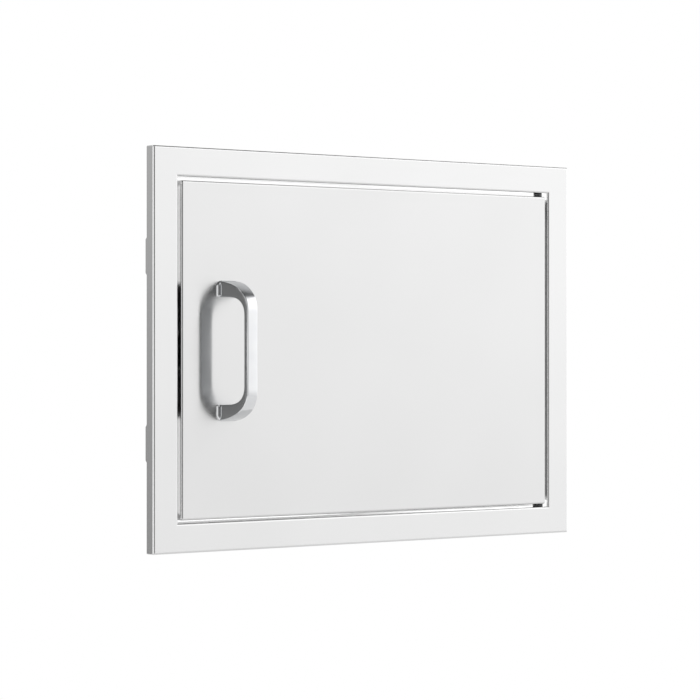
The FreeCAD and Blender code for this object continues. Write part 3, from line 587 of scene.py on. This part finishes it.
def softly(tree, value, low, high, start, end):
    """A soft step from one level to another as a value goes from low to high."""
    return add_node(tree, "ShaderNodeMapRange", settings={"interpolation_type": "SMOOTHSTEP"},
                    inputs={"From Min": low, "From Max": high, "To Min": start, "To Max": end},
                    links={"Value": value}).outputs["Result"]


def combined(tree, operation, *values):
    """Values added, multiplied or compared, one after another."""
    result = values[0]
    for value in values[1:]:
        result = add_node(tree, "ShaderNodeMath", settings={"operation": operation},
                          links={0: result, 1: value}).outputs[0]
    return result


def chosen(tree, switch, off, on):
    """One level or the other, each a number or a link, by a switch from 0 to 1."""
    node = add_node(tree, "ShaderNodeMix", settings={"data_type": "FLOAT"}, links={0: switch})
    for socket, level in ((2, off), (3, on)):
        if isinstance(level, float):
            node.inputs[socket].default_value = level
        else:
            tree.links.new(level, node.inputs[socket])
    return node.outputs[0]


def graded_studio(scene):
    """White for the camera and even light for matte surfaces. What metal mirrors is a studio of soft-edged
    panels: a bright wall at the front right, brighter to the right and dimmer low down and high up, a narrow
    strip at the left, a faint corner beside the dark place of the camera, a lamp high behind, a dim rear
    wall, and a low bright backdrop behind the opening. Between them the air is dim, less so lower down."""
    world = bpy.data.worlds.new("graded_studio")
    world.use_nodes = True
    tree = world.node_tree
    tree.nodes.clear()
    direction = add_node(tree, "ShaderNodeTexCoord").outputs["Generated"]
    parts = add_node(tree, "ShaderNodeSeparateXYZ", links={"Vector": direction})
    up = parts.outputs["Z"]
    # The wall's tone rises evenly from left to right
    slant = add_node(tree, "ShaderNodeMath", settings={"operation": "MULTIPLY_ADD"},
                     inputs={1: 0.78, 2: 0.68}, links={0: parts.outputs["X"]}).outputs[0]
    wall = combined(tree, "MULTIPLY", facing(tree, direction, FRONT_RIGHT, 0.52, 0.60, 1.0), slant,
                    softly(tree, up, -0.4, 0.3, 0.5, 1.15), softly(tree, up, 0.70, 0.80, 1.0, 0.4))
    strip = facing(tree, direction, LEFT, 0.80, 0.90, 1.35)
    corner = facing(tree, direction, FRONT_LEFT, 0.85, 0.98, 0.12)
    high = facing(tree, direction, HIGH_BEHIND, 0.88, 0.95, 1.2)
    rear = combined(tree, "MULTIPLY", facing(tree, direction, BEHIND, 0.6, 1.05, 1.0),
                    softly(tree, up, -0.2, 0.25, 0.03, 0.8))
    air = softly(tree, up, -0.35, 0.0, 0.25, 0.11)
    backdrop = combined(tree, "MULTIPLY", facing(tree, direction, BEHIND_RIGHT, 0.45, 0.7, 1.35),
                        softly(tree, up, 0.15, 0.3, 1.0, 0.06))
    tone = combined(tree, "MAXIMUM", combined(tree, "ADD", wall, strip, rear, corner, air, high), backdrop)
    path = add_node(tree, "ShaderNodeLightPath")
    mirrored = combined(tree, "MAXIMUM", path.outputs["Is Glossy Ray"], path.outputs["Is Transmission Ray"])
    level = chosen(tree, path.outputs["Is Camera Ray"], chosen(tree, mirrored, 0.7, tone), 1.0)
    background = add_node(tree, "ShaderNodeBackground", inputs={"Color": (1.0, 1.0, 1.0, 1.0)},
                          links={"Strength": level})
    add_node(tree, "ShaderNodeOutputWorld", links={"Surface": background.outputs[0]})
    scene.world = world


def soft_lamp(name, place, size, watts):
    """A square soft box at a place in metres, aimed at the door's middle. Metal doesn't mirror it."""
    light = bpy.data.lights.new(name, "AREA")
    light.size = size
    light.energy = watts
    lamp = bpy.data.objects.new(name, light)
    lamp.location = place
    x, y, z = place
    lamp.rotation_euler = (math.atan2(math.hypot(x, y), z), 0.0, math.atan2(x, -y))
    lamp.visible_glossy = False
    bpy.context.scene.collection.objects.link(lamp)


# Sizes and colours that a user would change


class StudioSettings(bpy.types.PropertyGroup):
    """Camera, floor and lamp."""

    turn: bpy.props.FloatProperty(
        name="Turn", description="How far the camera looks round to the right",
        default=math.radians(37.84), unit="ROTATION")
    camera_x: bpy.props.FloatProperty(
        name="Camera X", description="Camera, left to right", default=-1.83595, unit="LENGTH")
    camera_y: bpy.props.FloatProperty(
        name="Camera Y", description="Camera, out from the wall", default=-2.33547, unit="LENGTH")
    camera_z: bpy.props.FloatProperty(
        name="Camera Z", description="Camera height", default=0.0, unit="LENGTH")
    lens: bpy.props.FloatProperty(
        name="Lens", description="Focal length on a 36 mm frame", default=140.2, unit="CAMERA")
    floor_drop: bpy.props.FloatProperty(
        name="Floor drop", description="Floor below the door's middle", default=0.75, unit="LENGTH")
    floor_radius: bpy.props.FloatProperty(
        name="Floor radius", description="Half the floor's width", default=2.2, unit="LENGTH")
    lamp_size: bpy.props.FloatProperty(
        name="Lamp size", description="Side of the square soft box", default=1.6, unit="LENGTH")
    lamp_power: bpy.props.FloatProperty(
        name="Lamp power", description="Light that the soft box gives", default=26.0, unit="POWER")


class SteelSettings(bpy.types.PropertyGroup):
    """Tone and gloss of the brushed sheet."""

    rough: bpy.props.FloatProperty(
        name="Roughness", description="Gloss of the brushed faces",
        default=0.19, min=0.05, max=0.8, subtype="FACTOR")
    spread: bpy.props.FloatProperty(
        name="Smear", description="How much more the grain blurs across than along",
        default=1.0, min=0.0, max=1.0, subtype="FACTOR")
    flange_dark: bpy.props.FloatVectorProperty(
        name="Flange, darker", description="Its tone between the clouds",
        default=linear("E0E0E0"), size=4, subtype="COLOR")
    flange_light: bpy.props.FloatVectorProperty(
        name="Flange, lighter", description="Its tone in the clouds",
        default=linear("E2E2E2"), size=4, subtype="COLOR")
    door_dark: bpy.props.FloatVectorProperty(
        name="Door, darker", description="Its tone between the clouds",
        default=linear("DBDBDB"), size=4, subtype="COLOR")
    door_light: bpy.props.FloatVectorProperty(
        name="Door, lighter", description="Its tone in the clouds",
        default=linear("DDDDDD"), size=4, subtype="COLOR")


class HandleSettings(bpy.types.PropertyGroup):
    """The bow handle's form, inside the box of the solid that it stands for."""

    leg_width: bpy.props.FloatProperty(
        name="Leg width", description="Width of a leg at the door", default=23.8 * MM, unit="LENGTH")
    grip_width: bpy.props.FloatProperty(
        name="Grip width", description="Width at the front", default=12.5 * MM, unit="LENGTH")
    grip_thickness: bpy.props.FloatProperty(
        name="Grip thickness", description="Thickness of the grip", default=5.5 * MM, unit="LENGTH")
    leg_height: bpy.props.FloatProperty(
        name="Leg height", description="Height of a leg at the door", default=17.2 * MM, unit="LENGTH")
    foot_step: bpy.props.FloatProperty(
        name="Foot step", description="How far a foot stands out past its leg",
        default=0.8 * MM, unit="LENGTH")
    outer_bend: bpy.props.FloatProperty(
        name="Outer bend", description="Height over which a leg turns to the grip",
        default=32.5 * MM, unit="LENGTH")
    inner_bend: bpy.props.FloatProperty(
        name="Inner bend", description="The same on the side of the fingers",
        default=20.0 * MM, unit="LENGTH")
    outer_edge: bpy.props.FloatProperty(
        name="Outer edge", description="Rounding of the outer edges", default=1.0 * MM, unit="LENGTH")
    inner_edge: bpy.props.FloatProperty(
        name="Inner edge", description="Rounding of the inner edges", default=0.7 * MM, unit="LENGTH")
    # Past this slope the upper leg takes the duller plate, whose greyer tone is painted shade.
    dull_shade_from: bpy.props.FloatProperty(
        name="Dull from", description="Slope at which the upper leg turns dull",
        default=math.atan(0.75), unit="ROTATION")
    foot_thickness: bpy.props.FloatProperty(
        name="Foot thickness", description="Thickness of a foot", default=2.3 * MM, unit="LENGTH")
    foot_edge: bpy.props.FloatProperty(
        name="Foot edge", description="Rounding of a foot's rim", default=2.2 * MM, unit="LENGTH")
    foot_corner: bpy.props.FloatProperty(
        name="Foot corner", description="Radius of a foot's outer corners", default=6.5 * MM, unit="LENGTH")
    foot_inner_corner: bpy.props.FloatProperty(
        name="Foot inner corner", description="Radius of the others", default=1.5 * MM, unit="LENGTH")


class HardwareSettings(bpy.types.PropertyGroup):
    """Sizes of the small pieces, which stay inside the boxes of the solids that they stand for."""

    handle_head: bpy.props.FloatProperty(
        name="Handle screw head", description="Height of its pan head", default=3.2 * MM, unit="LENGTH")
    handle_shank: bpy.props.FloatProperty(
        name="Handle screw", description="Radius over the thread", default=2.5 * MM, unit="LENGTH")
    small_head: bpy.props.FloatProperty(
        name="Small screw head", description="Height of its pan head", default=2.4 * MM, unit="LENGTH")
    small_shank: bpy.props.FloatProperty(
        name="Small screw", description="Radius over the thread", default=2.0 * MM, unit="LENGTH")
    small_spacing: bpy.props.FloatProperty(
        name="Bracket screw spacing", description="Between a bracket's screws",
        default=20.0 * MM, unit="LENGTH")
    rivet_head: bpy.props.FloatProperty(
        name="Rivet head", description="Height of a rivet's head", default=0.8 * MM, unit="LENGTH")
    rivet_body: bpy.props.FloatProperty(
        name="Rivet body", description="Radius of a rivet in its hole", default=2.0 * MM, unit="LENGTH")
    rivet_tail: bpy.props.FloatProperty(
        name="Rivet tail", description="Length of a set rivet's bulb", default=2.2 * MM, unit="LENGTH")
    wire: bpy.props.FloatProperty(
        name="Spring wire", description="Radius of the spring's wire", default=0.3 * MM, unit="LENGTH")
    coils: bpy.props.IntProperty(name="Spring turns", description="Turns of the pin's spring", default=6)
    travel: bpy.props.FloatProperty(
        name="Pin travel", description="How far the pin is pulled down", default=8.0 * MM, unit="LENGTH")
    knob_head: bpy.props.FloatProperty(
        name="Knob length", description="Length of the knob's fluted head", default=7.0 * MM, unit="LENGTH")
    knob_shank: bpy.props.FloatProperty(
        name="Knob shank", description="Radius of the knob's shank", default=1.8 * MM, unit="LENGTH")
    knob_edge: bpy.props.FloatProperty(
        name="Knob edge", description="Rounding of the knob's rims", default=0.8 * MM, unit="LENGTH")
    flutes: bpy.props.IntProperty(name="Flutes", description="Flutes round the knob", default=10)
    button_sheet: bpy.props.FloatProperty(
        name="Button seat", description="Thickness under a stop button", default=1.5 * MM, unit="LENGTH")
    button_stem: bpy.props.FloatProperty(
        name="Button stem", description="Radius in the sheet's hole", default=1.9 * MM, unit="LENGTH")
    button_bulb: bpy.props.FloatProperty(
        name="Button barb", description="Radius of the barb behind the sheet",
        default=2.7 * MM, unit="LENGTH")
    button_barb: bpy.props.FloatProperty(
        name="Barb length", description="How far the barb stands out behind",
        default=2.0 * MM, unit="LENGTH")


# Operators


class ACCESSDOOR_OT_frame_steel(bpy.types.Operator):
    """Brushes the flange, and leaves the plates and brackets behind it in mill finish"""

    bl_idname = "accessdoor.frame_steel"
    bl_label = "Flange and sleeve finish"

    def execute(self, context):
        steel = context.scene.access_door_steel
        give(brushed_stainless("brushed_stainless_flange", steel.flange_dark, steel.flange_light,
                               steel.rough, steel.spread), "face_frame")
        give(mill_stainless("mill_stainless_plate", "B4B5B6", "C4C5C6", 0.36), "upper_hinge_doubler",
             "lower_hinge_doubler", "catch_bracket", "upper_pivot_bracket", "lower_pivot_bracket")
        return {"FINISHED"}


class ACCESSDOOR_OT_door_steel(bpy.types.Operator):
    """Brushes the door's outer sheet and leaves its liner in mill finish"""

    bl_idname = "accessdoor.door_steel"
    bl_label = "Door finish"

    def execute(self, context):
        steel = context.scene.access_door_steel
        give(brushed_stainless("brushed_stainless_door", steel.door_dark, steel.door_light,
                               steel.rough, steel.spread), "door_skin")
        give(mill_stainless("mill_stainless_liner", "BDBEBF", "CACBCC", 0.33), "door_liner")
        return {"FINISHED"}


class ACCESSDOOR_OT_bow_handle(bpy.types.Operator):
    """Casts and chromes the bow handle with its rounded edges and feet, and finishes its washers"""

    bl_idname = "accessdoor.bow_handle"
    bl_label = "Bow handle"

    def execute(self, context):
        form = context.scene.access_door_handle
        low, high = span("pull_handle")
        reach = high[1] - low[1]
        top = (high[2] - low[2]) / 2
        outer = bow_line(reach, top - form.foot_step, form.outer_bend, OUTER_CURVE)
        inner = bow_line(reach - form.grip_thickness, top - form.leg_height, form.inner_bend, INNER_CURVE)
        grid = bow(outer, inner, form.leg_width, form.grip_width, form.outer_edge, form.inner_edge)
        middle = np.array([(low[0] + high[0]) / 2, high[1], (low[2] + high[2]) / 2])
        plate = rounded_plate((high[0] - low[0]) / 2, top - form.leg_height, top, form.foot_inner_corner,
                              form.foot_corner, form.foot_thickness, form.foot_edge)
        upper = np.stack([-plate[..., 0], -plate[..., 2], plate[..., 1]], axis=-1)
        lower = np.stack([plate[..., 0], -plate[..., 2], -plate[..., 1]], axis=-1)
        grids = [middle + grid, middle + upper, middle + lower]
        mesh = closed_mesh("cast_bow_handle", grids, sharp_degrees=50.0)
        stand_for(mesh, chromed_zinc(), "door", "pull_handle")
        # The second slot is the duller plate: its greyer tone is painted shade on the bow's inside and upper
        # leg.
        mesh.materials.append(unbuffed_chrome_painted_shade())
        dull = dull_shaded_faces(grid, len(mesh.polygons), form.dull_shade_from)
        mesh.polygons.foreach_set("material_index", dull)
        give(cold_headed_stainless("punched_stainless_washers", "B0B2B4", "C8CACC"), "handle_washers")
        return {"FINISHED"}


class ACCESSDOOR_OT_screws(bpy.types.Operator):
    """Puts recessed and threaded screws in the handle's washers, the pivot brackets and the catch"""

    bl_idname = "accessdoor.screws"
    bl_label = "Screws"

    def execute(self, context):
        sizes = context.scene.access_door_hardware
        steel = cold_headed_stainless("cold_headed_stainless_screws", "A8AAAC", "C2C4C6")
        grids = screws_of("handle_screws", 1, sizes.handle_shank, sizes.handle_head, M5_PITCH)
        stand_for(closed_mesh("threaded_handle_screws", grids), steel, "door", "handle_screws")
        small = (sizes.small_shank, sizes.small_head, M4_PITCH)
        grids = screws_of("bracket_screws", 1, *small, spacing=sizes.small_spacing)
        stand_for(closed_mesh("threaded_bracket_screws", grids), steel, "door", "bracket_screws")
        grids = screws_of("catch_screws", 0, *small)
        stand_for(closed_mesh("threaded_catch_screws", grids), steel, "frame", "catch_screws")
        return {"FINISHED"}


class ACCESSDOOR_OT_rivets(bpy.types.Operator):
    """Sets domed rivets with their mandrel holes in the strike plate"""

    bl_idname = "accessdoor.rivets"
    bl_label = "Strike rivets"

    def execute(self, context):
        sizes = context.scene.access_door_hardware
        low, high = span("strike_rivets")
        head = (high[0] - low[0]) / 2
        seat = high[1] - sizes.rivet_head
        grip = seat - low[1] - sizes.rivet_tail
        bulb = 0.74 * head
        rivet = set_rivet(head, sizes.rivet_head, sizes.rivet_body, grip, bulb, sizes.rivet_tail)
        grids = [stood(rivet, (low[0] + head, seat, z), (0, 1, 0)) for z in (low[2] + head, high[2] - head)]
        stand_for(closed_mesh("domed_strike_rivets", grids),
                  cold_headed_stainless("set_stainless_rivets", "AEB0B2", "C6C8CA"), "door", "strike_rivets")
        return {"FINISHED"}


class ACCESSDOOR_OT_pin_spring(bpy.types.Operator):
    """Winds the round wire of the upper pin's spring"""

    bl_idname = "accessdoor.pin_spring"
    bl_label = "Pin spring"

    def execute(self, context):
        sizes = context.scene.access_door_hardware
        low, high = span("upper_pin_spring")
        mean = (high[0] - low[0]) / 2 - sizes.wire
        middle = (low + high) / 2
        wire = wound_wire(sizes.wire, mean, low[2], high[2], sizes.coils)
        wire = wire + np.array([middle[0], middle[1], 0.0])
        piece = stand_for(closed_mesh("wound_pin_spring", [wire]), drawn_wire(), "door", "upper_pin_spring")
        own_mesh(piece)
        return {"FINISHED"}


class ACCESSDOOR_OT_release_knob(bpy.types.Operator):
    """Turns and flutes the knob that pulls the upper pin down"""

    bl_idname = "accessdoor.release_knob"
    bl_label = "Release knob"

    def execute(self, context):
        sizes = context.scene.access_door_hardware
        low, high = span("pin_release_knob")
        head = (high[2] - low[2]) / 2
        shank_length = high[1] - low[1] - sizes.knob_head
        knob = fluted_knob(sizes.knob_shank, shank_length, head, sizes.knob_head, sizes.knob_edge,
                           sizes.flutes)
        middle = (low + high) / 2
        grid = stood(knob, (middle[0], low[1], middle[2]), (0, 1, 0))
        stand_for(closed_mesh("fluted_release_knob", [grid], sharp_degrees=50.0),
                  turned_stainless("turned_stainless_knob", "AAACAE", "C8CACC", 0.35), "upper_pin",
                  "pin_release_knob")
        return {"FINISHED"}


class ACCESSDOOR_OT_stop_buttons(bpy.types.Operator):
    """Moulds the two rubber buttons that the door closes on"""

    bl_idname = "accessdoor.stop_buttons"
    bl_label = "Stop buttons"

    def execute(self, context):
        sizes = context.scene.access_door_hardware
        low, high = span("stop_bumpers")
        radius = (high[0] - low[0]) / 2
        seat = high[1] - sizes.button_barb - sizes.button_sheet
        button = rubber_button(radius, seat - low[1], sizes.button_stem, sizes.button_sheet,
                               sizes.button_bulb, sizes.button_barb)
        grids = [stood(button, (low[0] + radius, seat, z), (0, -1, 0))
                 for z in (low[2] + radius, high[2] - radius)]
        stand_for(closed_mesh("moulded_stop_buttons", grids), black_rubber(), "frame", "stop_bumpers")
        return {"FINISHED"}


class ACCESSDOOR_OT_pivots(bpy.types.Operator):
    """Finishes the pins, their collar and ring, the bushes and the washers"""

    bl_idname = "accessdoor.pivots"
    bl_label = "Pivot finishes"

    def execute(self, context):
        give(turned_stainless("turned_stainless_pins", "A6A8AA", "C4C6C8", 0.5), "upper_pivot_pin",
             "lower_pivot_pin", "pin_collar")
        give(moulded_nylon(), "upper_pivot_bush", "lower_pivot_bush", "upper_spacer_washer",
             "lower_thrust_washer")
        give(drawn_wire(), "lower_pin_ring")
        return {"FINISHED"}


class ACCESSDOOR_OT_catch(bpy.types.Operator):
    """Finishes the magnetic catch, its strike and the handle's spacers"""

    bl_idname = "accessdoor.catch"
    bl_label = "Catch finishes"

    def execute(self, context):
        give(moulded_abs(), "catch_housing")
        give(zinc_plated_steel(), "catch_pole_plates", "strike_plate", "handle_spacers")
        give(sintered_ferrite(), "catch_magnet")
        return {"FINISHED"}


class ACCESSDOOR_OT_studio(bpy.types.Operator):
    """Sets up the pale floor, the graded studio light and the camera"""

    bl_idname = "accessdoor.studio"
    bl_label = "Studio"

    def execute(self, context):
        settings = context.scene.access_door_studio
        pale_floor(settings.floor_drop, settings.floor_radius)
        graded_studio(context.scene)
        soft_lamp("key_lamp", (1.1, -1.7, 1.5), settings.lamp_size, settings.lamp_power)
        camera = bpy.data.cameras.new("camera")
        camera.lens = settings.lens
        camera.clip_end = 50.0
        viewer = bpy.data.objects.new("camera", camera)
        viewer.location = (settings.camera_x, settings.camera_y, settings.camera_z)
        viewer.rotation_euler = (math.pi / 2, 0.0, -settings.turn)
        context.scene.collection.objects.link(viewer)
        context.scene.camera = viewer
        context.scene.view_settings.view_transform = "Standard"
        return {"FINISHED"}


class ACCESSDOOR_PT_looks(bpy.types.Panel):
    """Lists the finishes, the small hardware and the studio"""

    bl_idname = "ACCESSDOOR_PT_looks"
    bl_label = "Access door"
    bl_space_type = "VIEW_3D"
    bl_region_type = "UI"
    bl_category = "Access door"

    def draw(self, context):
        """Draws a box for each group of settings, then the operators' buttons."""
        layout = self.layout
        for name in GROUPS:
            group = getattr(context.scene, name)
            box = layout.box()
            for key in group.__annotations__:
                box.prop(group, key)
        for operator in OPERATORS:
            layout.operator(operator.bl_idname)


GROUPS = {
    "access_door_studio": StudioSettings,
    "access_door_steel": SteelSettings,
    "access_door_handle": HandleSettings,
    "access_door_hardware": HardwareSettings,
}
OPERATORS = (
    ACCESSDOOR_OT_frame_steel,
    ACCESSDOOR_OT_door_steel,
    ACCESSDOOR_OT_bow_handle,
    ACCESSDOOR_OT_screws,
    ACCESSDOOR_OT_rivets,
    ACCESSDOOR_OT_pin_spring,
    ACCESSDOOR_OT_release_knob,
    ACCESSDOOR_OT_stop_buttons,
    ACCESSDOOR_OT_pivots,
    ACCESSDOOR_OT_catch,
    ACCESSDOOR_OT_studio,
)


def register():
    """Makes the settings, operators and panel known to Blender."""
    for key, group in GROUPS.items():
        bpy.utils.register_class(group)
        setattr(bpy.types.Scene, key, bpy.props.PointerProperty(type=group))
    for operator in OPERATORS:
        bpy.utils.register_class(operator)
    bpy.utils.register_class(ACCESSDOOR_PT_looks)


def unregister():
    """Takes them away again, in the opposite order."""
    bpy.utils.unregister_class(ACCESSDOOR_PT_looks)
    for operator in reversed(OPERATORS):
        bpy.utils.unregister_class(operator)
    for key, group in GROUPS.items():
        delattr(bpy.types.Scene, key)
        bpy.utils.unregister_class(group)


def main():
    """Dresses the loaded frame piece by piece."""
    register()
    bpy.ops.accessdoor.frame_steel()
    bpy.ops.accessdoor.door_steel()
    bpy.ops.accessdoor.bow_handle()
    bpy.ops.accessdoor.screws()
    bpy.ops.accessdoor.rivets()
    bpy.ops.accessdoor.pin_spring()
    bpy.ops.accessdoor.release_knob()
    bpy.ops.accessdoor.stop_buttons()
    bpy.ops.accessdoor.pivots()
    bpy.ops.accessdoor.catch()
    bpy.ops.accessdoor.studio()


if __name__ == "__main__":
    main()
